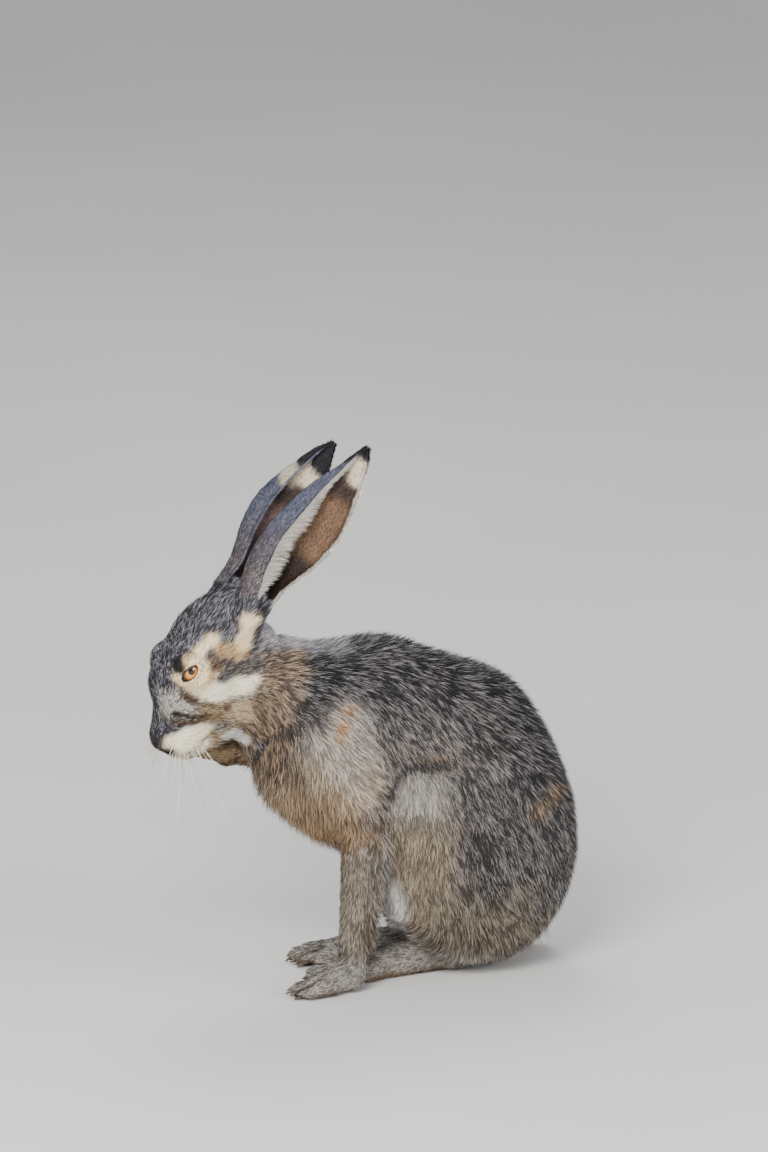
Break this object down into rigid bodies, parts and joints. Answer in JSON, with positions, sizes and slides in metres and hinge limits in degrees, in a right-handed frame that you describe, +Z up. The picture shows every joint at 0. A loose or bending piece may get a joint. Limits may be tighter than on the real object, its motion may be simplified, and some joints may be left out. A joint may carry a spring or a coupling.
{
  "type": "brown hare",
  "caption": "Life-size brown hare sitting on its haunches, head bowed, long ears upright, one forepaw standing and the other raised to the mouth; a still display figure.",
  "frame": {"origin": "on the floor, under the middle of the box round the whole hare", "axes": "+Z up; the hare faces -X; its left side is toward -Y"},
  "size_m": [0.3304, 0.155, 0.4094],
  "materials": {
    "coat_body": "grey-brown ticked fur",
    "coat_head": "short ticked fur with cream patches",
    "coat_ears": "short fur, black at the tips",
    "eyes": "glossy amber with a dark pupil",
    "coat_legs": "short tan fur",
    "coat_feet": "short pale fur",
    "coat_tail": "soft fur, white below and dark on top"
  },
  "bodies": {
    "root": {"torso": "coat_body", "haunch_left": "coat_body", "haunch_right": "coat_body", "neck": "coat_body", "head": "coat_head", "ear_left": "coat_ears", "ear_right": "coat_ears", "eye_left": "eyes", "eye_right": "eyes", "foreleg_left": "coat_legs", "foreleg_right": "coat_legs", "forepaw_left": "coat_feet", "forepaw_right": "coat_feet", "hind_foot_left": "coat_feet", "hind_foot_right": "coat_feet", "tail": "coat_tail"}
  },
  "joints": []
}
